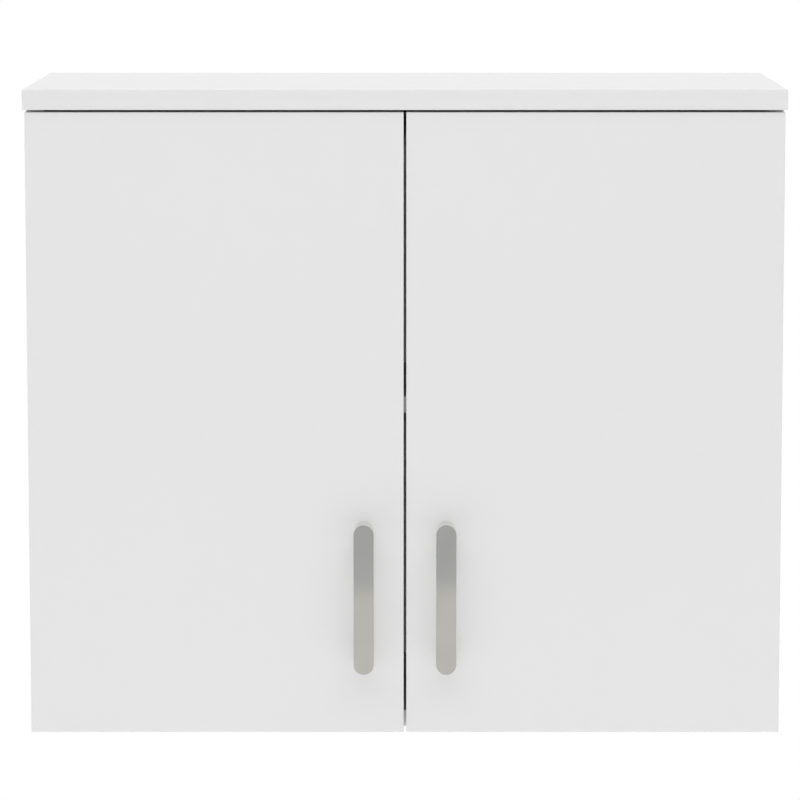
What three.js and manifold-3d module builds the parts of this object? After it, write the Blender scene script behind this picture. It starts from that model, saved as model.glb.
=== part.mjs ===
// Hanging wall cabinet: a carcass of white laminated boards under a slightly wider top board, one
// adjustable shelf, and two full-overlay doors on concealed cup hinges.
//
// Millimetres, +Z up. The wall is the plane y = 0 and the cabinet stands out of it towards -Y.
// x = 0 is the middle of the width. Pieces are placed with z = 0 at the lower edge of the doors, and
// the whole group is then lowered so that its origin lies on the rear face, level with the middle of
// the hanging rail.

import * as THREE from 'three';
import { mergeVertices } from 'three/addons/utils/BufferGeometryUtils.js';
import Module from 'manifold-3d';

const wasm = await Module();
wasm.setup();

// ---- Driving dimensions -------------------------------------------------------------------------

const BOARD = 16;
const BACK_BOARD = 3;
const TOP_BOARD = 19;
const CARCASS_WIDTH = 716;
const CARCASS_FRONT = -292;
const TOP_OVERHANG = 2;

const DOOR_HEIGHT = 594;
const DOOR_TO_CARCASS = 2;
const DOOR_TO_DOOR = 2.5;
const DOOR_TO_TOP = 2.25;
const DOOR_BELOW_CARCASS = 2;

const SHELF_UNDERSIDE = 303.5;
const SHELF_SETBACK = 20;
const SHELF_SIDE_GAP = 0.5;
const SHELF_BACK_GAP = 2;

const PIN_RADIUS = 2.4;
const PIN_STUB_RADIUS = 3;
const PIN_LENGTH = 8;
const PIN_HOLE_PITCH = 32;
const PIN_HOLE_ROWS = 5;
const PIN_LINE_SETBACK = 37;

const RAIL_HEIGHT = 80;
const RAIL_SCREW_ABOVE_EDGE = 24;
const RAIL_SCREW_LENGTH = 50;

const HANDLE_WIDTH = 19;
const HANDLE_LENGTH = 144;
const HANDLE_PROJECTION = 25;
const HANDLE_STRAP = 4;
const HANDLE_POST = 19;
const HANDLE_ABOVE_EDGE = 60.75;
const HANDLE_FROM_EDGE = 38;
const HANDLE_BEVEL = 1;
const HANDLE_SCREW_IN_POST = 8;

const BUMPER_RADIUS = 4.5;
const BUMPER_THICKNESS = 1.75;
const BUMPER_FROM_EDGE = 12;

const CAM_RADIUS = 7.5;
const CAM_DEPTH = 12.5;
const CAM_FROM_EDGE = 34;
const CAM_LINE_SETBACK = 50;
const BOLT_DEPTH = 11;

const HINGE_FROM_DOOR_END = 92;
const CUP_RADIUS = 17.5;
const CUP_CENTRE = 5.5;
const CUP_BORE_DEPTH = 12.5;
const PLATE_SETBACK = 37;

// Space between a loose piece and the hole that takes it, and how far cutting tools overshoot.
const FIT = 0.3;
const OVERSHOOT = 1;

// ---- Places that follow from them ---------------------------------------------------------------

const CARCASS_BOTTOM = DOOR_BELOW_CARCASS;
const CARCASS_TOP = DOOR_HEIGHT + DOOR_TO_TOP;
const REAR_EDGE = -BACK_BOARD;
const OUTER_FACE = CARCASS_WIDTH / 2;
const INNER_FACE = OUTER_FACE - BOARD;
const BOARD_MIDDLE = OUTER_FACE - BOARD / 2;
const DOOR_BACK = CARCASS_FRONT - DOOR_TO_CARCASS;
const DOOR_FRONT = DOOR_BACK - BOARD;
const DOOR_INNER_EDGE = DOOR_TO_DOOR / 2;
const RAIL_BOTTOM = CARCASS_TOP - RAIL_HEIGHT;
const RAIL_SCREW = { y: REAR_EDGE - BOARD / 2, z: RAIL_BOTTOM + RAIL_SCREW_ABOVE_EDGE };
const HANDLE_X = DOOR_INNER_EDGE + HANDLE_FROM_EDGE;
const HANDLE_Z = HANDLE_ABOVE_EDGE + HANDLE_LENGTH / 2;
const HANDLE_SCREW_REACH = (HANDLE_LENGTH - HANDLE_POST) / 2;
const SHELF_PIN_Z = SHELF_UNDERSIDE - PIN_STUB_RADIUS;
const PIN_LINES = { front: CARCASS_FRONT + PIN_LINE_SETBACK, rear: REAR_EDGE - PIN_LINE_SETBACK };
const CAM_LINES = { front: CARCASS_FRONT + CAM_LINE_SETBACK, rear: REAR_EDGE - CAM_LINE_SETBACK };
const UPPER_CAM_Z = CARCASS_TOP - CAM_FROM_EDGE;
const LOWER_CAM_X = INNER_FACE - CAM_FROM_EDGE;
const LOWER_BOLT_Z = CARCASS_BOTTOM + BOARD / 2;
const HINGE_LEVELS = { upper: DOOR_HEIGHT - HINGE_FROM_DOOR_END, lower: HINGE_FROM_DOOR_END };
const SIDES = { left: -1, right: 1 };

// ---- Solids -------------------------------------------------------------------------------------

function toSolid(geometry) {
  const bare = geometry.clone();
  bare.deleteAttribute('normal');
  bare.deleteAttribute('uv');
  const merged = mergeVertices(bare, 1e-4);
  return new wasm.Manifold(new wasm.Mesh({
    numProp: 3,
    vertProperties: new Float32Array(merged.attributes.position.array),
    triVerts: new Uint32Array(merged.index.array),
  }));
}

function toGeometry(solid) {
  const { vertProperties, triVerts } = solid.getMesh();
  const geometry = new THREE.BufferGeometry();
  geometry.setAttribute('position', new THREE.BufferAttribute(vertProperties, 3));
  geometry.setIndex(new THREE.BufferAttribute(triVerts, 1));
  geometry.computeVertexNormals();
  return geometry;
}

// Joins the geometries in parts and takes those in cuts away from them.
function shaped(parts, cuts = []) {
  let solid = toSolid(parts[0]);
  for (const part of parts.slice(1)) {
    solid = solid.add(toSolid(part));
  }
  for (const cut of cuts) {
    solid = solid.subtract(toSolid(cut));
  }
  return toGeometry(solid);
}

// The right-hand version of an indexed left-hand geometry.
function mirrored(geometry) {
  const copy = geometry.clone().scale(-1, 1, 1);
  const corners = copy.index.array;
  for (let i = 0; i < corners.length; i += 3) {
    [corners[i], corners[i + 1]] = [corners[i + 1], corners[i]];
  }
  copy.computeVertexNormals();
  return copy;
}

function box([x0, x1], [y0, y1], [z0, z1]) {
  return new THREE.BoxGeometry(x1 - x0, y1 - y0, z1 - z0)
    .translate((x0 + x1) / 2, (y0 + y1) / 2, (z0 + z1) / 2);
}

function rodX(radius, [x0, x1], y, z, facets = 20) {
  return new THREE.CylinderGeometry(radius, radius, Math.abs(x1 - x0), facets)
    .rotateZ(-Math.PI / 2)
    .translate((x0 + x1) / 2, y, z);
}

function rodY(radius, [y0, y1], x, z, facets = 20) {
  return new THREE.CylinderGeometry(radius, radius, y1 - y0, facets)
    .translate(x, (y0 + y1) / 2, z);
}

function rodZ(radius, [z0, z1], x, y, facets = 20) {
  return new THREE.CylinderGeometry(radius, radius, z1 - z0, facets)
    .rotateX(Math.PI / 2)
    .translate(x, y, (z0 + z1) / 2);
}

// A closed profile of [radius, height] points turned about the x axis, height running along +x.
function turnedX(profile, facets = 12) {
  return shaped([new THREE.LatheGeometry(profile.map(([r, h]) => new THREE.Vector2(r, h)), facets)
    .rotateZ(-Math.PI / 2)]);
}

// An outline in x and y, given height in z.
function raised(shape, [z0, z1], curveSegments = 6) {
  return new THREE.ExtrudeGeometry(shape, { depth: z1 - z0, bevelEnabled: false, curveSegments })
    .translate(0, 0, z0);
}

// An outline in y and z, given thickness in x.
function sideways(shape, [x0, x1], curveSegments = 3) {
  return new THREE.ExtrudeGeometry(shape, { depth: x1 - x0, bevelEnabled: false, curveSegments })
    .rotateX(Math.PI / 2)
    .rotateZ(Math.PI / 2)
    .translate(x0, 0, 0);
}

// An outline in x and z, given thickness in y.
function frontways(shape, [y0, y1], curveSegments = 4) {
  return new THREE.ExtrudeGeometry(shape, { depth: y1 - y0, bevelEnabled: false, curveSegments })
    .rotateX(Math.PI / 2)
    .translate(0, y1, 0);
}

function polygon(points) {
  return new THREE.Shape(points.map(([u, v]) => new THREE.Vector2(u, v)));
}

function roundedRectangle(width, height, radius, centre = { u: 0, v: 0 }) {
  const shape = new THREE.Shape();
  const corners = [[1, 1], [-1, 1], [-1, -1], [1, -1]];
  corners.forEach(([right, up], quarter) => {
    const u = centre.u + right * (width / 2 - radius);
    const v = centre.v + up * (height / 2 - radius);
    shape.absarc(u, v, radius, quarter * Math.PI / 2, (quarter + 1) * Math.PI / 2);
  });
  shape.closePath();
  return shape;
}

// The outline of a flat bar with a round eye at each end.
function bar(from, to, fromRadius, toRadius) {
  const along = Math.atan2(to.y - from.y, to.x - from.x);
  const lean = Math.acos((fromRadius - toRadius) / Math.hypot(to.x - from.x, to.y - from.y));
  const shape = new THREE.Shape();
  shape.absarc(to.x, to.y, toRadius, along - lean, along + lean);
  shape.absarc(from.x, from.y, fromRadius, along + lean, along - lean + Math.PI * 2);
  shape.closePath();
  return shape;
}

// ---- Scene --------------------------------------------------------------------------------------

const cabinet = new THREE.Group();

function finish(color, roughness, metalness) {
  return () => new THREE.MeshStandardMaterial({ color, roughness, metalness });
}

const whiteLaminate = finish(0xe9e9e9, 0.45, 0);
const whiteHardboard = finish(0xe2e2e0, 0.6, 0);
const polishedNickel = finish(0xb9b8b4, 0.12, 1);
const nickelPlate = finish(0xa9aaab, 0.3, 1);
const zincPlate = finish(0x9c9d9f, 0.4, 1);
const clearRubber = finish(0xd8dad8, 0.5, 0);

// Puts a piece at a point. A fitting is turned so that its own x axis lies along `along` and its own
// z axis along `facing`.
function place(name, geometry, material, [x, y, z] = [0, 0, 0], along = null, facing = [0, 1, 0]) {
  const mesh = new THREE.Mesh(geometry, material());
  mesh.name = name;
  mesh.position.set(x, y, z);
  if (along) {
    const xAxis = new THREE.Vector3(...along);
    const zAxis = new THREE.Vector3(...facing);
    const yAxis = new THREE.Vector3().crossVectors(zAxis, xAxis);
    mesh.quaternion.setFromRotationMatrix(new THREE.Matrix4().makeBasis(xAxis, yAxis, zAxis));
  }
  cabinet.add(mesh);
}

// ---- Carcass ------------------------------------------------------------------------------------

// Has four bolt holes in its underside, one above each cam in the side panels.
function topPanel() {
  const half = OUTER_FACE + TOP_OVERHANG;
  const holeTop = CARCASS_TOP + BOLT_DEPTH + OVERSHOOT;
  const holes = [];
  for (const side of Object.values(SIDES)) {
    for (const y of Object.values(CAM_LINES)) {
      holes.push(rodZ(3.2, [CARCASS_TOP - OVERSHOOT, holeTop], side * BOARD_MIDDLE, y, 16));
    }
  }
  const depth = [DOOR_FRONT - TOP_OVERHANG, REAR_EDGE];
  return shaped([box([-half, half], depth, [CARCASS_TOP, CARCASS_TOP + TOP_BOARD])], holes);
}

// Its cams sit in the underside, and their bolts come in through the two ends.
function bottomPanel() {
  const cuts = [];
  for (const side of Object.values(SIDES)) {
    for (const y of Object.values(CAM_LINES)) {
      const bore = [CARCASS_BOTTOM - OVERSHOOT, CARCASS_BOTTOM + CAM_DEPTH];
      const boltHole = [side * LOWER_CAM_X, side * (INNER_FACE + OVERSHOOT)];
      cuts.push(rodZ(CAM_RADIUS, bore, side * LOWER_CAM_X, y));
      cuts.push(rodX(4, boltHole, y, LOWER_BOLT_Z, 16));
    }
  }
  const height = [CARCASS_BOTTOM, CARCASS_BOTTOM + BOARD];
  return shaped([box([-INNER_FACE, INNER_FACE], [CARCASS_FRONT, REAR_EDGE], height)], cuts);
}

// The left panel, with cam bores at the top, bolt holes at the bottom, two lines of holes for the
// shelf pins, and the hole for the rail's screw.
function leftSidePanel() {
  const face = -INNER_FACE + OVERSHOOT;
  const cuts = [rodX(3.8, [-OUTER_FACE - OVERSHOOT, face], RAIL_SCREW.y, RAIL_SCREW.z, 16)];
  for (const y of Object.values(CAM_LINES)) {
    cuts.push(rodX(CAM_RADIUS, [-INNER_FACE - CAM_DEPTH, face], y, UPPER_CAM_Z));
    cuts.push(rodZ(4, [UPPER_CAM_Z, CARCASS_TOP + OVERSHOOT], -BOARD_MIDDLE, y, 16));
    cuts.push(rodX(3.2, [-INNER_FACE - BOLT_DEPTH - OVERSHOOT, face], y, LOWER_BOLT_Z, 16));
  }
  const middleRow = (PIN_HOLE_ROWS - 1) / 2;
  for (const y of Object.values(PIN_LINES)) {
    for (let row = 0; row < PIN_HOLE_ROWS; row += 1) {
      const z = SHELF_PIN_Z + (row - middleRow) * PIN_HOLE_PITCH;
      cuts.push(rodX(2.7, [-INNER_FACE - PIN_LENGTH - OVERSHOOT, face], y, z, 10));
    }
  }
  const height = [CARCASS_BOTTOM, CARCASS_TOP];
  return shaped([box([-OUTER_FACE, -INNER_FACE], [CARCASS_FRONT, REAR_EDGE], height)], cuts);
}

function backPanel() {
  const half = OUTER_FACE - 2;
  return box([-half, half], [REAR_EDGE, 0], [CARCASS_BOTTOM + 2, CARCASS_TOP + 10]);
}

// The wall screws are driven through this board and the back panel behind it.
function hangingRail() {
  const holes = [];
  for (const side of Object.values(SIDES)) {
    const hole = [side * (INNER_FACE - RAIL_SCREW_LENGTH), side * (INNER_FACE + OVERSHOOT)];
    holes.push(rodX(3.8, hole, RAIL_SCREW.y, RAIL_SCREW.z, 16));
  }
  const depth = [REAR_EDGE - BOARD, REAR_EDGE];
  return shaped([box([-INNER_FACE, INNER_FACE], depth, [RAIL_BOTTOM, CARCASS_TOP])], holes);
}

// Lies along +x from the flat of its head.
function railScrew() {
  const end = RAIL_SCREW_LENGTH;
  return turnedX([
    [0, 0], [3.5, 0], [3.5, 1.2], [2.6, 3], [2.6, BOARD], [3.2, BOARD + 1],
    [3.2, end - 4], [1.6, end], [0, end],
  ]);
}

function buildCarcass() {
  const side = leftSidePanel();
  place('top_panel', topPanel(), whiteLaminate);
  place('bottom_panel', bottomPanel(), whiteLaminate);
  place('left_side_panel', side, whiteLaminate);
  place('right_side_panel', mirrored(side), whiteLaminate);
  place('back_panel', backPanel(), whiteHardboard);
  place('hanging_rail', hangingRail(), whiteLaminate);
  const screw = railScrew();
  const headX = OUTER_FACE - 0.5;
  place('left_rail_screw', screw, zincPlate, [-headX, RAIL_SCREW.y, RAIL_SCREW.z], [1, 0, 0]);
  place('right_rail_screw', screw, zincPlate, [headX, RAIL_SCREW.y, RAIL_SCREW.z], [-1, 0, 0]);
}

// ---- Cam fittings -------------------------------------------------------------------------------

// Its axis is z, its slotted face is up at z = 0, and its bolt comes in along +x.
function cam() {
  const body = rodZ(CAM_RADIUS - FIT, [-CAM_DEPTH + FIT, 0], 0, 0);
  const mouth = box([-3.6, CAM_RADIUS], [-3.6, 3.6], [-BOARD / 2 - 3.6, -BOARD / 2 + 3.6]);
  const slot = box([-4.5, 4.5], [-0.7, 0.7], [-1.8, OVERSHOOT]);
  const crossSlot = box([-0.7, 0.7], [-4.5, 4.5], [-1.8, OVERSHOOT]);
  return shaped([body], [mouth, slot, crossSlot]);
}

// Lies along +x from its head inside the cam to its thread in the other board.
function camBolt() {
  const end = CAM_FROM_EDGE + BOLT_DEPTH;
  return turnedX([
    [0, -3], [2.6, -3], [3.1, -2], [3.1, 0], [1.8, 1], [1.8, 4], [3.3, 5], [3.3, CAM_FROM_EDGE - 1],
    [2.8, CAM_FROM_EDGE], [2.8, end - 2], [1.5, end], [0, end],
  ]);
}

function buildCamFittings() {
  const camShape = cam();
  const boltShape = camBolt();
  for (const [sideName, side] of Object.entries(SIDES)) {
    for (const [lineName, y] of Object.entries(CAM_LINES)) {
      const label = `${sideName}_${lineName}`;
      const inward = [-side, 0, 0];
      const outward = [side, 0, 0];
      const camX = side * LOWER_CAM_X;
      const upperCam = [side * INNER_FACE, y, UPPER_CAM_Z];
      place(`upper_cam_${label}`, camShape, zincPlate, upperCam, [0, 0, 1], inward);
      place(`upper_bolt_${label}`, boltShape, zincPlate, [side * BOARD_MIDDLE, y, UPPER_CAM_Z], [0, 0, 1]);
      place(`lower_cam_${label}`, camShape, zincPlate, [camX, y, CARCASS_BOTTOM], outward, [0, 0, -1]);
      place(`lower_bolt_${label}`, boltShape, zincPlate, [camX, y, LOWER_BOLT_Z], outward);
    }
  }
}

// ---- Shelf --------------------------------------------------------------------------------------

function shelfBoard() {
  const half = INNER_FACE - SHELF_SIDE_GAP;
  const depth = [CARCASS_FRONT + SHELF_SETBACK, REAR_EDGE - SHELF_BACK_GAP];
  return box([-half, half], depth, [SHELF_UNDERSIDE, SHELF_UNDERSIDE + BOARD]);
}

// Lies along +x: a spigot in the panel up to x = 0, and a thicker stub under the shelf.
function shelfPin() {
  return turnedX([
    [0, -PIN_LENGTH], [PIN_RADIUS - 0.5, -PIN_LENGTH], [PIN_RADIUS, -PIN_LENGTH + 0.5],
    [PIN_RADIUS, 0], [PIN_STUB_RADIUS, 0], [PIN_STUB_RADIUS, PIN_LENGTH - 0.6],
    [PIN_STUB_RADIUS - 0.6, PIN_LENGTH], [0, PIN_LENGTH],
  ]);
}

function buildShelf() {
  place('shelf', shelfBoard(), whiteLaminate);
  const pin = shelfPin();
  for (const [sideName, side] of Object.entries(SIDES)) {
    for (const [lineName, y] of Object.entries(PIN_LINES)) {
      const name = `shelf_pin_${sideName}_${lineName}`;
      place(name, pin, nickelPlate, [side * INNER_FACE, y, SHELF_PIN_Z], [-side, 0, 0]);
    }
  }
}

// ---- Doors --------------------------------------------------------------------------------------

// The left door, with two cup bores in its back and two through holes for the handle's screws.
function leftDoor() {
  const cuts = [];
  for (const z of Object.values(HINGE_LEVELS)) {
    const depth = [DOOR_BACK - CUP_BORE_DEPTH, DOOR_BACK + OVERSHOOT];
    cuts.push(rodY(CUP_RADIUS, depth, -INNER_FACE + CUP_CENTRE, z, 32));
  }
  for (const end of [-1, 1]) {
    const depth = [DOOR_FRONT - OVERSHOOT, DOOR_BACK + OVERSHOOT];
    cuts.push(rodY(2.5, depth, -HANDLE_X, HANDLE_Z + end * HANDLE_SCREW_REACH, 12));
  }
  return shaped([box([-OUTER_FACE, -DOOR_INNER_EDGE], [DOOR_FRONT, DOOR_BACK], [0, DOOR_HEIGHT])], cuts);
}

// A strap with round ends on two end posts, standing on the plane y = 0 and reaching to -y.
function handle() {
  const round = HANDLE_WIDTH / 2;
  const endCentre = HANDLE_LENGTH / 2 - round;
  const outline = bar({ x: 0, y: -endCentre }, { x: 0, y: endCentre }, round, round);
  const body = new THREE.ExtrudeGeometry(outline, {
    depth: HANDLE_PROJECTION - HANDLE_BEVEL,
    bevelThickness: HANDLE_BEVEL,
    bevelSize: HANDLE_BEVEL,
    bevelOffset: -HANDLE_BEVEL,
    bevelSegments: 2,
    curveSegments: 12,
  }).rotateX(Math.PI / 2);
  const wide = [-HANDLE_WIDTH, HANDLE_WIDTH];
  const gapHeight = HANDLE_LENGTH / 2 - HANDLE_POST;
  const behindDoorFace = box(wide, [0, HANDLE_BEVEL + OVERSHOOT], [-HANDLE_LENGTH, HANDLE_LENGTH]);
  const fingerGap = box(wide, [HANDLE_STRAP - HANDLE_PROJECTION, OVERSHOOT], [-gapHeight, gapHeight]);
  const screwHoles = [-1, 1].map((end) => rodY(
    2.3, [-HANDLE_SCREW_IN_POST - OVERSHOOT, OVERSHOOT], 0, end * HANDLE_SCREW_REACH, 12,
  ));
  return shaped([body], [behindDoorFace, fingerGap, ...screwHoles]);
}

// Lies along +x from under its head; the head stands at -x.
function handleScrew() {
  const end = BOARD + HANDLE_SCREW_IN_POST;
  return turnedX([
    [0, -2.4], [2.4, -2.4], [3.7, -1.6], [4.2, 0], [1.95, 0], [1.95, end - 0.6], [1.4, end], [0, end],
  ]);
}

// A small pad on the door's back that meets the front edge of the bottom panel.
function bumper() {
  return turnedX([
    [0, 0], [BUMPER_RADIUS, 0], [BUMPER_RADIUS, 0.8], [BUMPER_RADIUS - 1.2, BUMPER_THICKNESS],
    [0, BUMPER_THICKNESS],
  ]);
}

function buildDoors() {
  const door = leftDoor();
  const handleShape = handle();
  const screw = handleScrew();
  const pad = bumper();
  for (const [name, side] of Object.entries(SIDES)) {
    const handleX = side * HANDLE_X;
    const padX = side * (DOOR_INNER_EDGE + BUMPER_FROM_EDGE);
    place(`${name}_door`, side < 0 ? door : mirrored(door), whiteLaminate);
    place(`${name}_handle`, handleShape, polishedNickel, [handleX, DOOR_FRONT, HANDLE_Z]);
    for (const [endName, end] of [['upper', 1], ['lower', -1]]) {
      const seat = [handleX, DOOR_BACK, HANDLE_Z + end * HANDLE_SCREW_REACH];
      place(`${name}_handle_screw_${endName}`, screw, zincPlate, seat, [0, -1, 0], [0, 0, 1]);
    }
    const padSeat = [padX, DOOR_BACK, CARCASS_BOTTOM + BOARD / 2];
    place(`${name}_door_bumper`, pad, clearRubber, padSeat, [0, 1, 0], [0, 0, 1]);
  }
}

// ---- Hinges -------------------------------------------------------------------------------------
//
// A hinge is drawn for the left door, seen from above, from its own origin: x = 0 is the side panel's
// inner face, y = 0 the carcass front and z = 0 the middle of the cup. Two links join the arm on the
// panel to the cup in the door. The outer link is bowed, so that it dips into the cup while the door
// is shut and passes round the cup's rim while it is open, and it turns on a pin at both ends. The
// inner link turns on its pin in the arm. Its other end lies loose in the cup, clear of all else.

const ARM_OUTER_PIN = { x: 12.5, y: 4 };
const ARM_INNER_PIN = { x: 16, y: -2.8 };
const CUP_PIN = { x: -6.5, y: -6.5 };
const INNER_LINK_END = { x: -1.8, y: -3.7 };
const BOW = [[10.9, 0.4], [7.2, -3.8], [3.3, -7.6], [-0.3, -10.6], [-2.6, -10.6], [-4.7, -8.9]];
const LINK_PIN_RADIUS = 1.5;
const LINK_HOLE_RADIUS = 1.75;
const LINK_EYE = 2.5;
const LINK_HALF_WIDTH = 1.1;
const ARM_EYE = 3;
const ARM_HALF_HEIGHT = 8;
const ARM_WALL = 1.2;
const ARM_TOP = 12.5;
const ARM_REAR = 62;
const ARM_LIFT = 3.3;
const ARM_NECK = 14;
const LINK_HALF_HEIGHT = ARM_HALF_HEIGHT - ARM_WALL - FIT;
const INNER_LINK_HALF_HEIGHT = 3;
const CUP_FLOOR = DOOR_TO_CARCASS + CUP_BORE_DEPTH - FIT;
const CUP_WALL = 0.9;
const CUP_FLANGE = 1.2;
const CUP_PIN_HALF_LENGTH = 10.4;
const CUP_SCREW_REACH = 24;
const CUP_SCREW_OFFSET = 5.5;

// The outline of a strip of even width along a smooth curve.
function strip(points, halfWidth, steps) {
  const curve = new THREE.SplineCurve(points.map(([x, y]) => new THREE.Vector2(x, y)));
  const middle = curve.getSpacedPoints(steps);
  const across = middle.map((_, i) => {
    const tangent = curve.getTangentAt(i / steps);
    return new THREE.Vector2(-tangent.y, tangent.x).multiplyScalar(halfWidth);
  });
  const leftEdge = middle.map((point, i) => point.clone().add(across[i]));
  const rightEdge = middle.map((point, i) => point.clone().sub(across[i]));
  return new THREE.Shape([...rightEdge, ...leftEdge.reverse()]);
}

// A cross-shaped plate screwed to the side panel, with a ridge that carries the arm.
function mountingPlate() {
  const foot = roundedRectangle(42, 14, 3, { u: 45, v: 0 });
  const wings = roundedRectangle(14, 46, 5, { u: PLATE_SETBACK, v: 0 });
  const ridge = roundedRectangle(36, 11, 1.5, { u: 46, v: 0 });
  const screwHoles = [-16, 16].map((z) => rodX(2.8, [-OVERSHOOT, 4], PLATE_SETBACK, z, 16));
  const base = [0, 2.4];
  return shaped([sideways(foot, base), sideways(wings, base), sideways(ridge, [0, 7.5])], screwHoles);
}

// A channel over the plate's ridge whose two cheeks reach to the mouth of the cup and hold both pins.
function hingeArm() {
  const lowerLeft = Math.PI * 1.17;
  const cheek = new THREE.Shape();
  cheek.moveTo(ARM_LIFT, ARM_REAR);
  cheek.lineTo(ARM_LIFT, ARM_NECK);
  cheek.lineTo(
    ARM_OUTER_PIN.x + ARM_EYE * Math.cos(lowerLeft),
    ARM_OUTER_PIN.y + ARM_EYE * Math.sin(lowerLeft),
  );
  cheek.absarc(ARM_INNER_PIN.x, ARM_INNER_PIN.y, ARM_EYE, lowerLeft, Math.PI * 2.05);
  cheek.lineTo(ARM_TOP, 20);
  cheek.lineTo(ARM_TOP, ARM_REAR - 6);
  cheek.lineTo(ARM_TOP - 2, ARM_REAR);
  cheek.closePath();
  const ceiling = ARM_TOP - ARM_WALL;
  const hollow = polygon([
    [0, ARM_REAR + OVERSHOOT], [0, -15], [25, -15], [25, 16], [ceiling, 20],
    [ceiling, ARM_REAR - 6], [ceiling - 2.3, ARM_REAR + OVERSHOOT],
  ]);
  const inside = ARM_HALF_HEIGHT - ARM_WALL;
  const pinSpan = [-ARM_HALF_HEIGHT + 0.4, ARM_HALF_HEIGHT - 0.4];
  const channel = shaped(
    [raised(cheek, [-ARM_HALF_HEIGHT, ARM_HALF_HEIGHT])],
    [raised(hollow, [-inside, inside])],
  );
  const pins = [ARM_OUTER_PIN, ARM_INNER_PIN].map((pin) => rodZ(LINK_PIN_RADIUS, pinSpan, pin.x, pin.y, 12));
  return shaped([channel, ...pins]);
}

// The cup in the door, its flange on the door's back, and the pin of the outer link.
function hingeCup() {
  const floor = -CUP_FLOOR;
  const seat = -DOOR_TO_CARCASS;
  const flangeTop = seat + CUP_FLANGE;
  const wingsX = CUP_CENTRE + CUP_SCREW_OFFSET;
  const wings = roundedRectangle(17, 62, 5, { u: wingsX, v: 0 });
  const outer = rodY(CUP_RADIUS - FIT, [floor, flangeTop], CUP_CENTRE, 0, 28);
  const rim = rodY(CUP_RADIUS + 1.5, [seat, flangeTop], CUP_CENTRE, 0, 28);
  const inner = rodY(CUP_RADIUS - FIT - CUP_WALL, [floor + CUP_WALL, OVERSHOOT], CUP_CENTRE, 0, 28);
  const holeDepth = [seat - OVERSHOOT, flangeTop + OVERSHOOT];
  const screwHoles = [-1, 1].map((end) => rodY(2.2, holeDepth, wingsX, end * CUP_SCREW_REACH, 12));
  const shell = shaped([outer, rim, frontways(wings, [seat, flangeTop])], [inner, ...screwHoles]);
  const pin = rodZ(LINK_PIN_RADIUS, [-CUP_PIN_HALF_LENGTH, CUP_PIN_HALF_LENGTH], CUP_PIN.x, CUP_PIN.y, 12);
  return shaped([shell, pin]);
}

// Two bowed cheeks from the eyes on the cup's pin to the barrel on the arm's outer pin.
function outerLink() {
  const height = [-LINK_HALF_HEIGHT, LINK_HALF_HEIGHT];
  const ends = [ARM_OUTER_PIN, CUP_PIN];
  const path = [[ARM_OUTER_PIN.x, ARM_OUTER_PIN.y], ...BOW, [CUP_PIN.x, CUP_PIN.y]];
  const eyes = ends.map(({ x, y }) => rodZ(LINK_EYE, height, x, y, 16));
  const holes = ends.map(({ x, y }) => rodZ(LINK_HOLE_RADIUS, [-10, 10], x, y, 16));
  const slotHeight = INNER_LINK_HALF_HEIGHT + FIT;
  const slot = box([-12, 30], [-20, ARM_OUTER_PIN.y - LINK_EYE], [-slotHeight, slotHeight]);
  return shaped([raised(strip(path, LINK_HALF_WIDTH, 20), height), ...eyes], [slot, ...holes]);
}

// A narrow bar on a barrel round the arm's inner pin, running between the outer link's cheeks.
function innerLink() {
  const height = [-INNER_LINK_HALF_HEIGHT, INNER_LINK_HALF_HEIGHT];
  const { x, y } = ARM_INNER_PIN;
  const strap = raised(bar(ARM_INNER_PIN, INNER_LINK_END, LINK_HALF_WIDTH + 0.4, LINK_HALF_WIDTH), height);
  const hole = rodZ(LINK_HOLE_RADIUS, [-10, 10], x, y, 16);
  return shaped([strap, rodZ(LINK_EYE, height, x, y, 16)], [hole]);
}

function buildHinges() {
  const pieces = {
    plate: [mountingPlate(), zincPlate],
    arm: [hingeArm(), nickelPlate],
    outer_link: [outerLink(), nickelPlate],
    inner_link: [innerLink(), nickelPlate],
    cup: [hingeCup(), nickelPlate],
  };
  for (const [pieceName, [shape, material]] of Object.entries(pieces)) {
    for (const [sideName, side] of Object.entries(SIDES)) {
      for (const [levelName, z] of Object.entries(HINGE_LEVELS)) {
        const name = `${sideName}_${levelName}_hinge_${pieceName}`;
        const handed = side < 0 ? shape : mirrored(shape);
        place(name, handed, material, [side * INNER_FACE, CARCASS_FRONT, z]);
      }
    }
  }
}

// ---- Assembly -----------------------------------------------------------------------------------

buildCarcass();
buildCamFittings();
buildShelf();
buildDoors();
buildHinges();

cabinet.position.z = -(RAIL_BOTTOM + RAIL_HEIGHT / 2);

export default cabinet;
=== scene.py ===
"""Hanging wall cabinet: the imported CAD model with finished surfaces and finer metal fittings.

Metres, +Z up, the doors face -Y. Panels keep their CAD solids and get a bevel and a laminate
material. Handles, cups, screws, cams and pins are rebuilt finer where the CAD solids stand.
"""

import math

import bmesh
import bpy
from mathutils import Matrix, Vector


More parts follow.
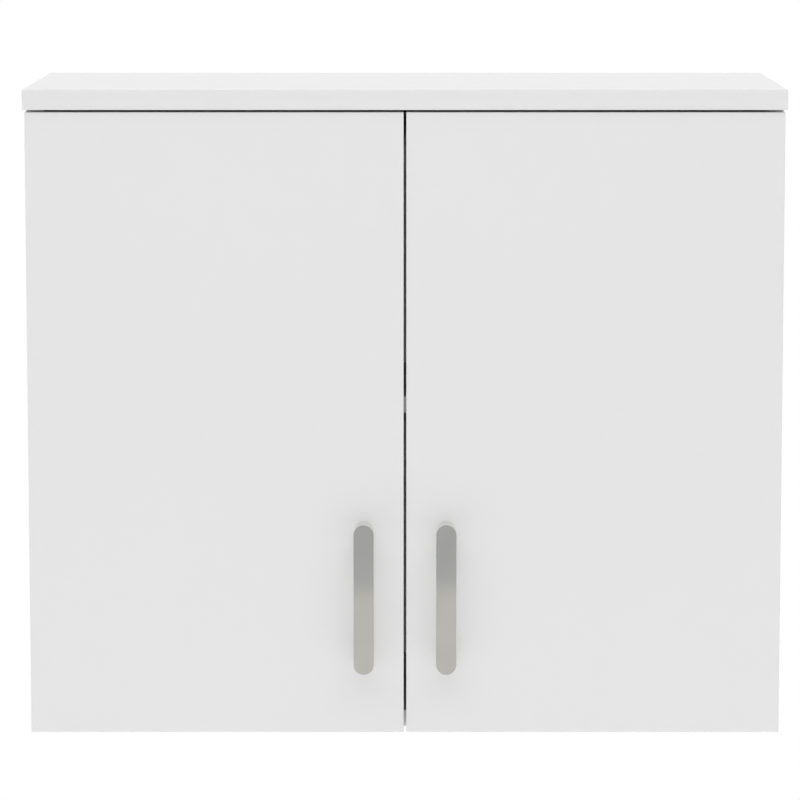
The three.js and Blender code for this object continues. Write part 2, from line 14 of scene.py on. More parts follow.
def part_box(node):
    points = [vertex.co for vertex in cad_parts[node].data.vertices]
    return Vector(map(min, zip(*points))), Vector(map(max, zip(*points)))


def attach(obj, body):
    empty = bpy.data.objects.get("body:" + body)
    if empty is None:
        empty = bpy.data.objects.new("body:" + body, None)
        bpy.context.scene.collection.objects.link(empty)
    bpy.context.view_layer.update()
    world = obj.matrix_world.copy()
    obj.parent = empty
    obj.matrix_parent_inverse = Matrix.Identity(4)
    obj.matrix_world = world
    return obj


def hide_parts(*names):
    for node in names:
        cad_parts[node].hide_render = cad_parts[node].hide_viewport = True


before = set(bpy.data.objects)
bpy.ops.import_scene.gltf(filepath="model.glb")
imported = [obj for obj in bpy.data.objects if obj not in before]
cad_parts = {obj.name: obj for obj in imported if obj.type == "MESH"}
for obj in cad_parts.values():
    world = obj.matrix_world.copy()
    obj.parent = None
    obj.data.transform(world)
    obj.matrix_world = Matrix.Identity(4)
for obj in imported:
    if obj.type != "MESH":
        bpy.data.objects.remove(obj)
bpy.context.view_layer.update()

MM = 0.001
SIDES = {"left": -1, "right": 1}
LEVELS = ("upper", "lower")
LINES = ("front", "rear")

# ---- Camera ---------------------------------------------------------------------------------

CAMERA_PLACE = (0.0, -4.112, 0.271)
CAMERA_PITCH = 7.13
CAMERA_LENS = 181.9
CAMERA_SENSOR = 36
CAMERA_SHIFT = (-0.0062, -0.04)


def make_camera():
    data = bpy.data.cameras.new("camera")
    data.lens = CAMERA_LENS
    data.sensor_width = CAMERA_SENSOR
    data.shift_x, data.shift_y = CAMERA_SHIFT
    data.clip_end = 200
    camera = bpy.data.objects.new("camera", data)
    camera.location = CAMERA_PLACE
    camera.rotation_euler = (math.radians(90 - CAMERA_PITCH), 0, 0)
    bpy.context.scene.collection.objects.link(camera)
    bpy.context.scene.camera = camera


# ---- Shader helpers -------------------------------------------------------------------------


class Nodes:
    """A node tree, with short calls for the nodes that this scene uses."""

    def __init__(self, tree):
        self.tree = tree

    def node(self, kind, **settings):
        node = self.tree.nodes.new(kind)
        for key, value in settings.items():
            setattr(node, key, value)
        return node

    def put(self, socket, value):
        if isinstance(value, bpy.types.NodeSocket):
            self.tree.links.new(value, socket)
        else:
            socket.default_value = value

    def split(self, vector):
        node = self.node("ShaderNodeSeparateXYZ")
        self.put(node.inputs[0], vector)
        return node.outputs

    def math(self, operation, a, b=0.0):
        node = self.node("ShaderNodeMath", operation=operation)
        self.put(node.inputs[0], a)
        self.put(node.inputs[1], b)
        return node.outputs[0]

    def ramp(self, value, low, high, to_low, to_high, smooth=False):
        node = self.node("ShaderNodeMapRange")
        if smooth:
            node.interpolation_type = "SMOOTHSTEP"
        self.put(node.inputs["Value"], value)
        ends = {"From Min": low, "From Max": high, "To Min": to_low, "To Max": to_high}
        for name, number in ends.items():
            node.inputs[name].default_value = number
        return node.outputs["Result"]

    def choose(self, factor, a, b):
        """a where the factor is 0, b where it is 1."""
        step = self.math("MULTIPLY", factor, self.math("SUBTRACT", b, a))
        return self.math("ADD", a, step)


class Shader(Nodes):
    """A material built on a Principled surface."""

    def __init__(self, name, roughness=0.5, metallic=0.0):
        self.material = bpy.data.materials.new(name)
        self.material.use_nodes = True
        super().__init__(self.material.node_tree)
        self.bsdf = self.tree.nodes["Principled BSDF"]
        self.bsdf.inputs["Roughness"].default_value = roughness
        self.bsdf.inputs["Metallic"].default_value = metallic
        self.place = self.node("ShaderNodeTexCoord").outputs["Object"]

    def noise(self, scale, detail=2.0, roughness=0.5, stretch=(1, 1, 1)):
        mapping = self.node("ShaderNodeMapping")
        self.put(mapping.inputs["Vector"], self.place)
        mapping.inputs["Scale"].default_value = stretch
        node = self.node("ShaderNodeTexNoise")
        self.put(node.inputs["Vector"], mapping.outputs[0])
        node.inputs["Scale"].default_value = scale
        node.inputs["Detail"].default_value = detail
        node.inputs["Roughness"].default_value = roughness
        return node.outputs["Fac"]

    def mix(self, factor, a, b):
        node = self.node("ShaderNodeMix", data_type="RGBA")
        colours = [socket for socket in node.inputs if socket.type == "RGBA"]
        self.put(node.inputs[0], factor)
        self.put(colours[0], a)
        self.put(colours[1], b)
        return next(socket for socket in node.outputs if socket.type == "RGBA")

    def scaled(self, colour, factor):
        node = self.node("ShaderNodeVectorMath", operation="SCALE")
        self.put(node.inputs[0], colour[:3] if isinstance(colour, tuple) else colour)
        self.put(node.inputs["Scale"], factor)
        return node.outputs[0]

    def set(self, name, value):
        self.put(self.bsdf.inputs[name], value)

    def bump(self, height, distance, strength=1.0):
        node = self.node("ShaderNodeBump")
        node.inputs["Distance"].default_value = distance
        node.inputs["Strength"].default_value = strength
        self.put(node.inputs["Height"], height)
        self.set("Normal", node.outputs["Normal"])


def grey(value, warmth=0.0):
    return (value * (1 + warmth), value, value * (1 - warmth), 1)


# ---- Materials ------------------------------------------------------------------------------

LAMINATE = grey(0.81)
BAND = grey(0.80)
CHIP_DARK = (0.23, 0.13, 0.06, 1)
CHIP_LIGHT = (0.55, 0.39, 0.22, 1)
FIBRE_DARK = (0.23, 0.155, 0.095, 1)
FIBRE_LIGHT = (0.39, 0.285, 0.19, 1)
FILM = grey(0.76, 0.004)
PAD_COLOUR = (0.80, 0.81, 0.79, 1)
POLISHED_COLOUR = (0.70, 0.695, 0.68, 1)
NICKEL_COLOUR = (0.62, 0.61, 0.585, 1)
ZINC_COLOUR = (0.55, 0.56, 0.575, 1)


def chips(shader):
    """The colour of cut particle board: pale flakes in a brown ground."""
    flakes = shader.ramp(shader.noise(420.0, detail=4, roughness=0.7), 0.35, 0.68, 0, 1)
    return shader.mix(flakes, CHIP_DARK, CHIP_LIGHT)


def laminate(node, flat_axis, raw_rear):
    """White melamine board: fine pearl texture, an edge band's outline, chipboard where it is cut."""
    shader = Shader(node + "_laminate", roughness=0.42)
    low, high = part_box(node)
    place = shader.split(shader.place)
    depths = []
    for axis in range(3):
        centre = (low[axis] + high[axis]) / 2
        half = (high[axis] - low[axis]) / 2
        offset = shader.math("ABSOLUTE", shader.math("SUBTRACT", place[axis], centre))
        depths.append(shader.math("SUBTRACT", half, offset))
    in_plane = [depths[axis] for axis in range(3) if axis != flat_axis]
    to_edge = shader.math("MINIMUM", in_plane[0], in_plane[1])
    buried = shader.math("MINIMUM", to_edge, depths[flat_axis])
    band = shader.ramp(to_edge, 0.7 * MM, 1.1 * MM, 1, 0, smooth=True)
    cut = shader.ramp(buried, 0.6 * MM, 0.8 * MM, 0, 1)
    if raw_rear:
        rear = shader.ramp(place[1], high[1] - 0.03 * MM, high[1] - 0.01 * MM, 0, 1)
        cut = shader.math("MAXIMUM", cut, rear)
    cloud = shader.ramp(shader.noise(3.0), 0.3, 0.7, 0.994, 1.004)
    grain = shader.ramp(shader.noise(900.0, detail=3), 0.3, 0.7, 0.994, 1.004)
    face = shader.scaled(shader.mix(band, LAMINATE, BAND), shader.math("MULTIPLY", cloud, grain))
    shader.set("Base Color", shader.mix(cut, face, chips(shader)))
    rough = shader.ramp(shader.noise(60.0), 0.3, 0.7, 0.38, 0.45)
    shader.set("Roughness", shader.math("MAXIMUM", rough, shader.math("MULTIPLY", cut, 0.9)))
    shader.bump(shader.noise(1400.0, detail=2), 0.02 * MM, 0.3)
    return shader.material


def back_board():
    """Thin fibreboard: white film inside, raw brown fibre on the wall side and at the edges."""
    shader = Shader("back_board")
    y = shader.split(shader.place)[1]
    raw = shader.ramp(y, -2.6 * MM, -2.5 * MM, 0, 1)
    fibre_noise = shader.noise(500.0, detail=5, roughness=0.7, stretch=(0.25, 1, 1))
    fibres = shader.ramp(fibre_noise, 0.3, 0.7, 0, 1)
    patches = shader.ramp(shader.noise(9.0, detail=3), 0.3, 0.7, 0.93, 1.05)
    brown = shader.scaled(shader.mix(fibres, FIBRE_DARK, FIBRE_LIGHT), patches)
    film = shader.scaled(FILM, shader.ramp(shader.noise(700.0), 0.3, 0.7, 0.985, 1.01))
    shader.set("Base Color", shader.mix(raw, film, brown))
    shader.set("Roughness", shader.ramp(raw, 0, 1, 0.5, 0.85))
    shader.bump(fibres, 0.03 * MM, 0.3)
    return shader.material


def plated(name, colour, roughness, spread, cloudy, wear=0.0, ripple=0.004):
    """A plated metal: soft clouding in colour and gloss, and fine handling marks."""
    shader = Shader(name, roughness=roughness, metallic=1.0)
    clouds = shader.noise(cloudy, detail=3)
    marks = shader.noise(1800.0, detail=2, stretch=(1, 1, 0.12))
    tone = shader.ramp(clouds, 0.3, 0.7, 0.96, 1.03)
    dulled = shader.ramp(marks, 0.35, 0.75, 1.0, 1.0 - wear)
    shader.set("Base Color", shader.scaled(colour, shader.math("MULTIPLY", tone, dulled)))
    shader.set("Roughness", shader.ramp(marks, 0.3, 0.7, roughness - spread, roughness + spread))
    shader.bump(marks, ripple * MM, 0.12)
    return shader.material


def clear_pad():
    """A soft clear pad, slightly cloudy."""
    shader = Shader("clear_pad", roughness=0.35)
    clouds = shader.ramp(shader.noise(500.0), 0.3, 0.7, 0.95, 1.03)
    shader.set("Base Color", shader.scaled(PAD_COLOUR, clouds))
    shader.set("Transmission Weight", 0.45)
    shader.set("IOR", 1.46)
    shader.bump(shader.noise(700.0), 0.02 * MM, 0.3)
    return shader.material


# ---- Mesh helpers ---------------------------------------------------------------------------


def lathe(profile, segments=48):
    """A closed turned body from (radius, height) points in mm, from its foot to its head, round z."""
    bm = bmesh.new()
    rings = []
    for radius, height in profile:
        if radius < 1e-6:
            rings.append([bm.verts.new((0, 0, height * MM))])
            continue
        ring = []
        for i in range(segments):
            angle = 2 * math.pi * i / segments
            spot = (radius * MM * math.cos(angle), radius * MM * math.sin(angle), height * MM)
            ring.append(bm.verts.new(spot))
        rings.append(ring)
    for lower, upper in zip(rings, rings[1:]):
        for i in range(segments):
            j = (i + 1) % segments
            foot = [lower[i % len(lower)], lower[j % len(lower)]]
            head = [upper[j % len(upper)], upper[i % len(upper)]]
            unique = list(dict.fromkeys(foot + head))
            if len(unique) > 2:
                bm.faces.new(unique)
    bmesh.ops.recalc_face_normals(bm, faces=bm.faces)
    return bm


def prism(outline, low, high):
    """An outline of (x, y) points in mm, given height in z."""
    bm = bmesh.new()
    foot = [bm.verts.new((x * MM, y * MM, low * MM)) for x, y in outline]
    head = [bm.verts.new((x * MM, y * MM, high * MM)) for x, y in outline]
    bm.faces.new(foot[::-1])
    bm.faces.new(head)
    for i in range(len(outline)):
        j = (i + 1) % len(outline)
        bm.faces.new((foot[i], foot[j], head[j], head[i]))
    return bm


def rounded(width, height, radius, steps=8, centre=(0, 0)):
    """The outline of a rectangle with round corners, in mm."""
    points = []
    for corner, (sx, sy) in enumerate(((1, 1), (-1, 1), (-1, -1), (1, -1))):
        x = centre[0] + sx * (width / 2 - radius)
        y = centre[1] + sy * (height / 2 - radius)
        for step in range(steps + 1):
            angle = math.pi / 2 * (corner + step / steps)
            points.append((x + radius * math.cos(angle), y + radius * math.sin(angle)))
    return points


def bevelled(bm, width, segments=3, angle=35):
    """Rounds the edges whose faces turn by more than the angle."""
    sharp = [e for e in bm.edges if len(e.link_faces) == 2 and e.calc_face_angle(0) > math.radians(angle)]
    bmesh.ops.bevel(bm, geom=sharp, offset=width * MM, segments=segments, profile=0.5,
                    affect="EDGES", clamp_overlap=True)
    return bm


def moved(bm, matrix):
    """bm after the transform, with its faces still pointing out."""
    bmesh.ops.transform(bm, matrix=matrix, verts=bm.verts)
    if matrix.determinant() < 0:
        bmesh.ops.reverse_faces(bm, faces=bm.faces)
    return bm


def combined(bm, others, operation):
    """bm after a boolean operation with each of the others."""
    base = as_object("base", bm)
    for other in others:
        tool = as_object("tool", other)
        modifier = base.modifiers.new("boolean", "BOOLEAN")
        modifier.operation = operation
        modifier.solver = "EXACT"
        modifier.object = tool
        bpy.context.view_layer.update()
        evaluated = base.evaluated_get(bpy.context.evaluated_depsgraph_get())
        mesh = bpy.data.meshes.new_from_object(evaluated)
        base.modifiers.clear()
        base.data = mesh
        bpy.data.objects.remove(tool)
    result = bmesh.new()
    result.from_mesh(base.data)
    bpy.data.objects.remove(base)
    bmesh.ops.dissolve_degenerate(result, dist=1e-7, edges=result.edges)
    return result


def as_object(name, bm):
    """Turns bm into an object in the scene, and frees bm."""
    mesh = bpy.data.meshes.new(name)
    bm.to_mesh(mesh)
    bm.free()
    thing = bpy.data.objects.new(name, mesh)
    bpy.context.scene.collection.objects.link(thing)
    return thing


def basis(at, along, facing=(0, 0, 1)):
    """Turns a piece drawn round z so that its z lies along `along`, and puts its origin at `at`, in mm."""
    z = Vector(along).normalized()
    x = Vector(facing)
    x = (x - z * x.dot(z)).normalized()
    y = z.cross(x)
    matrix = Matrix((x, y, z)).transposed().to_4x4()
    matrix.translation = Vector(at) * MM
    return matrix


def piece(name, bm, material, body, replaced=(), smooth=40):
    """Makes a finished piece that rides on a CAD body."""
    thing = as_object(name, bm)
    thing.data.materials.append(material)
    thing.data.shade_smooth()
    thing.data.set_sharp_from_angle(angle=math.radians(smooth))
    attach(thing, body)
    if replaced:
        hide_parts(*replaced)
    return thing


def centre_of(node):
    """The middle of a CAD node's box, in mm."""
    low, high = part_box(node)
    return (low + high) / 2 / MM


def keep_solid(node, material, bevel, segments=2, angle=50):
    """Finishes a CAD node that stays in view: rounded edges and a material."""
    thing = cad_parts[node]
    thing.data.materials.clear()
    thing.data.materials.append(material)
    if thing.data.has_custom_normals:
        thing.data.attributes.remove(thing.data.attributes["custom_normal"])
    thing.data.shade_smooth()
    weld = thing.modifiers.new("weld", "WELD")
    weld.merge_threshold = 1e-6
    round_off = thing.modifiers.new("bevel", "BEVEL")
    round_off.width = bevel * MM
    round_off.segments = segments
    round_off.limit_method = "ANGLE"
    round_off.angle_limit = math.radians(angle)
    round_off.harden_normals = True


# ---- Panels ---------------------------------------------------------------------------------

PANEL_AXES = {
    "top_panel": 2, "bottom_panel": 2, "shelf": 2, "left_side_panel": 0,
    "right_side_panel": 0, "hanging_rail": 1, "left_door": 1, "right_door": 1,
}
RAW_REARS = ("top_panel", "bottom_panel", "left_side_panel", "right_side_panel")


def finish_panels():
    """Gives every board its laminate, and the back its fibreboard."""
    for node, axis in PANEL_AXES.items():
        keep_solid(node, laminate(node, axis, node in RAW_REARS), 0.4)
    keep_solid("back_panel", back_board(), 0.15, segments=1)


# ---- Screws ---------------------------------------------------------------------------------


def cross_recess(size, depth):
    """A tapering cross-shaped cutter that points down from z = 0."""
    arms = []
    for turn in (0, 90):
        bar = prism(rounded(size, size * 0.24, size * 0.06, 2), -depth, 1)
        for vert in bar.verts:
            if vert.co.z < 0:
                vert.co.x *= 0.45
                vert.co.y *= 0.6
        arms.append(moved(bar, Matrix.Rotation(math.radians(turn), 4, "Z")))
    return arms


def screw_head(radius, height):
    """A pan head with a cross recess, its underside at z = 0."""
    body = lathe([
        (0, -0.6), (radius * 0.6, -0.6), (radius * 0.6, 0), (radius * 0.96, 0), (radius, height * 0.18),
        (radius * 0.97, height * 0.5), (radius * 0.84, height * 0.8), (radius * 0.55, height * 0.96),
        (0, height),
    ], 40)
    lift = Matrix.Translation((0, 0, height * MM))
    recess = [moved(arm, lift) for arm in cross_recess(radius * 1.15, height * 0.75)]
    return combined(body, recess, "DIFFERENCE")


def add_screw(name, at, along, radius, height, material, body, slot):
    bm = screw_head(radius, height)
    turn = Matrix.Rotation(math.radians(17 + 31 * (len(name) % 5)), 4, "Z")
    piece(name, moved(bm, basis(at, along, (0.3, 0.2, 0.9)) @ turn), material, body)


# ---- Handles --------------------------------------------------------------------------------

STRAP = 4.0
POST = 19.0
HANDLE_EDGE = 1.3
HANDLE_FILLET = 3.5
HANDLE_SCREW_LENGTH = 26.4
HANDLE_SCREW = (
    (0, 0), (1.4, 0), (1.95, 0.6), (1.95, 24), (4.0, 24), (4.2, 24.2), (4.1, 24.9),
    (3.5, 25.8), (2.2, 26.3), (0, HANDLE_SCREW_LENGTH),
)


def handle_shape(width, length, projection):
    """A strap with round ends on two posts. Drawn upright in x and y, standing up from z = 0."""
    body = prism(rounded(width, length, width / 2 - 0.001, 20), 0, projection)
    gap = length / 2 - POST
    opening = rounded(2 * gap, 2 * (projection - STRAP), HANDLE_FILLET, 6)
    cutter = prism(opening, -width, width)
    turned = Matrix(((0, 0, 1, 0), (1, 0, 0, 0), (0, 1, 0, 0), (0, 0, 0, 1)))
    body = combined(body, [moved(cutter, turned)], "DIFFERENCE")
    edges = [e for e in body.edges if len(e.link_faces) == 2 and e.calc_face_angle(0) > math.radians(45)
             and min(v.co.z for v in e.verts) > 0.5 * MM]
    bmesh.ops.bevel(body, geom=edges, offset=HANDLE_EDGE * MM, segments=5, profile=0.5,
                    affect="EDGES", clamp_overlap=True)
    return body


def add_handles(metal, zinc):
    """Both handles, and the screws that hold them from behind the doors."""
    for side in SIDES:
        node = side + "_handle"
        low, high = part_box(node)
        size = (high - low) / MM
        shape = handle_shape(size.x, size.z, size.y)
        middle = (low + high) / 2 / MM
        stand = basis((middle.x, high.y / MM, middle.z), (0, -1, 0), (1, 0, 0))
        handle = piece(node + "_bow", moved(shape, stand), metal, side + "_door",
                       [node], smooth=60)
        handle.modifiers.new("normals", "WEIGHTED_NORMAL").keep_sharp = True
        for end in LEVELS:
            screw = f"{side}_handle_screw_{end}"
            low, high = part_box(screw)
            x, z = ((low + high) / 2 / MM).xz
            body = lathe(HANDLE_SCREW, 40)
            lift = Matrix.Translation((0, 0, HANDLE_SCREW_LENGTH * MM))
            recess = [moved(arm, lift) for arm in cross_recess(4.6, 1.9)]
            body = combined(body, recess, "DIFFERENCE")
            seat = basis((x, high.y / MM - HANDLE_SCREW_LENGTH, z), (0, 1, 0), (0.4, 0, 0.9))
            piece(screw + "_pan", moved(body, seat), zinc, side + "_door", [screw])


# ---- Hinges ---------------------------------------------------------------------------------

CUP_RADIUS = 17.2
CUP_INNER = 16.3
CUP_RIM = 19.0
CUP_DEPTH = 12.2
FLANGE = 1.2
WING_OFFSET = 5.5
WING_SIZE = (17, 62)
WING_SCREW = 24
PIN_FROM_CENTRE = 12
PIN_DEPTH = 4.5
PIN_LENGTH = 20.8
CUP_SCREW = (3.1, 1.1)
CUP_SCREW_SINK = 0.8


def cup_shape():
    """The hinge cup, drawn round z with the door's back at z = 0 and the wings towards +x."""
    shell = lathe([
        (0, -CUP_DEPTH), (CUP_RADIUS - 0.8, -CUP_DEPTH), (CUP_RADIUS - 0.2, -CUP_DEPTH + 0.2),
        (CUP_RADIUS, -CUP_DEPTH + 0.8), (CUP_RADIUS, 0), (CUP_RIM, 0), (CUP_RIM, FLANGE - 0.4),
        (CUP_RIM - 0.4, FLANGE), (0, FLANGE),
    ], 64)
    wings = bevelled(prism(rounded(*WING_SIZE, 5, centre=(WING_OFFSET, 0)), 0, FLANGE), 0.3, 2)
    bore = lathe([
        (0, -CUP_DEPTH + 0.9), (CUP_INNER - 1.2, -CUP_DEPTH + 0.9), (CUP_INNER - 0.3, -CUP_DEPTH + 1.2),
        (CUP_INNER, -CUP_DEPTH + 2.1), (CUP_INNER, FLANGE - 0.5), (CUP_INNER + 0.5, FLANGE),
        (CUP_INNER + 0.5, FLANGE + 1), (0, FLANGE + 1),
    ], 64)
    sinks = []
    for end in (-1, 1):
        sink = lathe([
            (0, -1), (2.2, -1), (2.2, 0.3), (3.3, FLANGE), (3.3, FLANGE + 1), (0, FLANGE + 1),
        ], 32)
        place = Matrix.Translation((WING_OFFSET * MM, end * WING_SCREW * MM, 0))
        sinks.append(moved(sink, place))
    body = combined(shell, [wings], "UNION")
    body = combined(body, [bore, *sinks], "DIFFERENCE")
    pin = lathe([(0, 0), (1.5, 0), (1.5, PIN_LENGTH), (0, PIN_LENGTH)], 24)
    across = Matrix.Translation((-PIN_FROM_CENTRE * MM, PIN_LENGTH / 2 * MM, -PIN_DEPTH * MM))
    pin = moved(pin, across @ Matrix.Rotation(math.radians(90), 4, "X"))
    return combined(body, [pin], "UNION")


def add_hinges(nickel, zinc):
    """Finer cups and all hinge screws; plates, arms and links keep their CAD solids."""
    for side, out in SIDES.items():
        door = side + "_door"
        for level in LEVELS:
            label = f"{side}_{level}_hinge_"
            low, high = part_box(label + "cup")
            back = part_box(door)[1].y / MM
            x = (high.x if out < 0 else low.x) / MM + out * CUP_RIM
            z = (low.z + high.z) / 2 / MM
            seat = basis((x, back, z), (0, 1, 0), (-out, 0, 0))
            piece(label + "cup_shell", moved(cup_shape(), seat), nickel, door,
                  [label + "cup"])
            wing_x = x - out * WING_OFFSET
            for end in (-1, 1):
                spot = (wing_x, back + FLANGE - CUP_SCREW_SINK, z + end * WING_SCREW)
                add_screw(f"{label}cup_screw_{1 + (end > 0)}", spot, (0, 1, 0), *CUP_SCREW,
                          zinc, door, "zinc_plate")
            add_plate_screws(label, side, z, nickel, zinc)
            for part in ("arm", "outer_link", "inner_link"):
                keep_solid(label + part, nickel, 0.25, 2)
            keep_solid(label + "plate", zinc, 0.35, 2)


PLATE_SETBACK = 37
PLATE_THICKNESS = 2.4
PLATE_SCREW_REACH = 16
PLATE_SCREW = (3.6, 1.9)
ARM_HEIGHT = 12.5
ARM_SCREW = (3.3, 1.3)
ARM_SCREW_SETBACKS = {"fixing": 49, "depth": 27}


def add_plate_screws(label, side, z, nickel, zinc):
    """The two wood screws of the plate, and the arm's fixing and depth screws."""
    out = SIDES[side]
    inner_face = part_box(side + "_side_panel")
    face_x = (inner_face[1].x if out < 0 else inner_face[0].x) / MM
    front = inner_face[0].y / MM
    inward = (-out, 0, 0)
    for end in (-1, 1):
        spot = (face_x - out * PLATE_THICKNESS, front + PLATE_SETBACK, z + end * PLATE_SCREW_REACH)
        add_screw(f"{label}plate_screw_{1 + (end > 0)}", spot, inward, *PLATE_SCREW,
                  zinc, "carcass", "zinc_plate")
    for kind, setback in ARM_SCREW_SETBACKS.items():
        spot = (face_x - out * ARM_HEIGHT, front + setback, z)
        add_screw(f"{label}{kind}_screw", spot, inward, *ARM_SCREW, nickel, "carcass", "nickel_plate")


# ---- Cams, pins and pads --------------------------------------------------------------------

CAM_RADIUS = 7.2
CAM_DEPTH = 12.2
SHELF_PIN = ((0, -8), (1.9, -8), (2.4, -7.5), (2.4, 0), (3, 0), (3, 7.4), (2.8, 7.8), (2.4, 8), (0, 8))
PAD = ((0, 0), (4.5, 0), (4.5, 0.7), (4.2, 1.2), (3.6, 1.5), (2.4, 1.68), (0, 1.75))


def cam_shape():
    """A cam with its cross slot up at z = 0 and its mouth towards +x."""
    body = lathe([
        (0, -CAM_DEPTH), (CAM_RADIUS - 0.3, -CAM_DEPTH), (CAM_RADIUS, -CAM_DEPTH + 0.3),
        (CAM_RADIUS, -0.4), (CAM_RADIUS - 0.4, 0), (5.9, 0), (5.6, -0.35), (0, -0.35),
    ], 48)
    mouth = prism(rounded(11.2, 7.2, 0.5, 2, centre=(2, 0)), -11.6, -4.4)
    recess = [moved(arm, Matrix.Translation((0, 0, -0.35 * MM))) for arm in cross_recess(7.5, 1.6)]
    return combined(body, [mouth, *recess], "DIFFERENCE")


def add_small_fittings(nickel, zinc, pad_material):
    """Cams, bolts, shelf pins, the rail's screws and the door pads."""
    for side, out in SIDES.items():
        inner_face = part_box(side + "_side_panel")
        face_x = (inner_face[1].x if out < 0 else inner_face[0].x) / MM
        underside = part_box("bottom_panel")[0].z / MM
        for line in LINES:
            upper = f"upper_cam_{side}_{line}"
            lower = f"lower_cam_{side}_{line}"
            spot = centre_of(upper)
            seat = basis((face_x, spot.y, spot.z), (-out, 0, 0), (0, 0, 1))
            piece(upper + "_disc", moved(cam_shape(), seat), zinc, "carcass", [upper])
            spot = centre_of(lower)
            seat = basis((spot.x, spot.y, underside), (0, 0, -1), (out, 0, 0))
            piece(lower + "_disc", moved(cam_shape(), seat), zinc, "carcass", [lower])
            pin = f"shelf_pin_{side}_{line}"
            spot = centre_of(pin)
            seat = basis((face_x, spot.y, spot.z), (-out, 0, 0), (0, 0, 1))
            piece(pin + "_spigot", moved(lathe(SHELF_PIN, 32), seat), nickel, "carcass",
                  [pin])
            for level in LEVELS:
                keep_solid(f"{level}_bolt_{side}_{line}", zinc, 0.15, 1)
        keep_solid(side + "_rail_screw", zinc, 0.15, 1)
        pad = side + "_door_bumper"
        low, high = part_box(pad)
        spot = centre_of(pad)
        seat = basis((spot.x, low.y / MM, spot.z), (0, 1, 0), (1, 0, 0))
        piece(pad + "_pad", moved(lathe(PAD, 32), seat), pad_material, side + "_door", [pad])


# ---- Stage ----------------------------------------------------------------------------------

FLOOR_Z = -1.2
FLOOR_REACH = 60
FLOOR_FADE = (0.9, 2.2)
MAT_HALF_WIDTH = 1.5
MAT_DEPTH = (-5.9, -3.0)
MAT_LIFT = 0.01
SKY_DIFFUSE = 0.30
SKY_OVERHEAD = 1.85
SKY_REFLECTED = 0.42
FLOOR_REFLECTED = 0.55
FLOOR_LIGHT = 0.75
FRONT_LAMP = 0.735
FRONT_LAMP_HEIGHT = 9
FRONT_LAMP_SPREAD = 2.5
MAT_FAR = (0.418, 0.426, 0.424, 1)
MAT_NEAR = (0.562, 0.555, 0.528, 1)
MAT_EDGE = -4.64


def stage_sheet(name, x_span, y_span, z, material):
    """A level rectangle that belongs to the studio, not to the cabinet."""
    (left, right), (near, far) = x_span, y_span
    corners = [(left, near, z), (right, near, z), (right, far, z), (left, far, z)]
    mesh = bpy.data.meshes.new(name)
    mesh.from_pydata(corners, [], [tuple(range(len(corners)))])
    thing = bpy.data.objects.new(name, mesh)
    mesh.materials.append(material)
    bpy.context.scene.collection.objects.link(thing)
    return thing


def floor_material():
    """Pale floor under the object that fades into the white surroundings."""
    shader = Shader("floor", roughness=0.7)
    shader.set("Base Color", grey(0.86))
    path = shader.node("ShaderNodeLightPath").outputs
    emission = shader.node("ShaderNodeEmission")
    level = shader.choose(path["Is Glossy Ray"], FLOOR_LIGHT, FLOOR_REFLECTED)
    level = shader.choose(path["Is Camera Ray"], level, 1.0)
    shader.put(emission.inputs["Strength"], level)
    distance = shader.node("ShaderNodeVectorMath", operation="LENGTH")
    shader.put(distance.inputs[0], shader.place)
    fade = shader.ramp(distance.outputs["Value"], *FLOOR_FADE, 0, 1, smooth=True)
    blend = shader.node("ShaderNodeMixShader")
    shader.put(blend.inputs[0], fade)
    shader.put(blend.inputs[1], shader.bsdf.outputs[0])
    shader.put(blend.inputs[2], emission.outputs[0])
    shader.put(shader.tree.nodes["Material Output"].inputs["Surface"], blend.outputs[0])
    return shader.material


def mat_material():
    """A grey studio mat in front of the cabinet, in two tones, which the polished handles mirror."""
    shader = Shader("mat", roughness=0.9)
    y = shader.split(shader.place)[1]
    nearness = shader.ramp(y, MAT_EDGE - 0.02, MAT_EDGE + 0.02, 0, 1)
    shader.set("Base Color", shader.mix(nearness, MAT_FAR, MAT_NEAR))
    shader.set("Specular IOR Level", 0.0)
    return shader.material


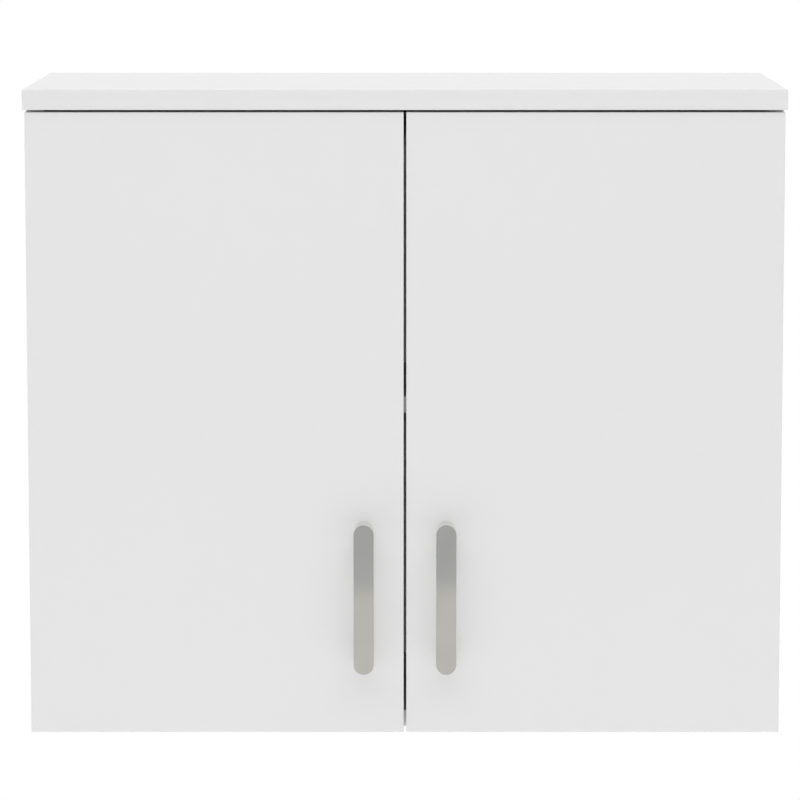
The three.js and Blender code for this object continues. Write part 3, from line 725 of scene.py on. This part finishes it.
def light_sky(tree):
    """White surroundings: bright overhead for matt surfaces, calmer and greyer for what metal mirrors."""
    sky = Nodes(tree)
    z = sky.split(sky.node("ShaderNodeTexCoord").outputs["Generated"])[2]
    overhead = sky.ramp(z, 0.5, 0.95, SKY_DIFFUSE, SKY_DIFFUSE + SKY_OVERHEAD, smooth=True)
    mirrored = sky.ramp(z, 0.12, 0.40, 1.0, SKY_REFLECTED, smooth=True)
    path = sky.node("ShaderNodeLightPath").outputs
    level = sky.choose(path["Is Glossy Ray"], overhead, mirrored)
    level = sky.choose(path["Is Camera Ray"], level, 1.0)
    background = tree.nodes["Background"]
    background.inputs["Color"].default_value = (1, 1, 1, 1)
    sky.put(background.inputs["Strength"], level)


def front_lamp():
    """A distant lamp from the viewer's side, slightly above the cabinet."""
    data = bpy.data.lights.new("front_lamp", "SUN")
    data.energy = FRONT_LAMP
    data.angle = math.radians(FRONT_LAMP_SPREAD)
    lamp = bpy.data.objects.new("front_lamp", data)
    lamp.rotation_euler = (math.radians(90 - FRONT_LAMP_HEIGHT), 0, 0)
    bpy.context.scene.collection.objects.link(lamp)


def make_stage():
    """The studio: sky, lamp, floor and mat."""
    scene = bpy.context.scene
    scene.view_settings.view_transform = "Standard"
    world = bpy.data.worlds.new("studio")
    scene.world = world
    world.use_nodes = True
    light_sky(world.node_tree)
    front_lamp()
    reach = (-FLOOR_REACH, FLOOR_REACH)
    floor = stage_sheet("floor", reach, reach, 0, floor_material())
    floor.location = (0, 0, FLOOR_Z)
    stage_sheet("mat", (-MAT_HALF_WIDTH, MAT_HALF_WIDTH), MAT_DEPTH, FLOOR_Z + MAT_LIFT, mat_material())


# ---- Assembly -------------------------------------------------------------------------------

make_camera()
make_stage()
finish_panels()
POLISHED = plated("polished_nickel", POLISHED_COLOUR, 0.05, 0.01, 30.0, ripple=0.0005)
NICKEL = plated("nickel_plate", NICKEL_COLOUR, 0.24, 0.05, 60.0, wear=0.05)
ZINC = plated("zinc_plate", ZINC_COLOUR, 0.36, 0.06, 80.0, wear=0.10)
add_handles(POLISHED, ZINC)
add_hinges(NICKEL, ZINC)
add_small_fittings(NICKEL, ZINC, clear_pad())
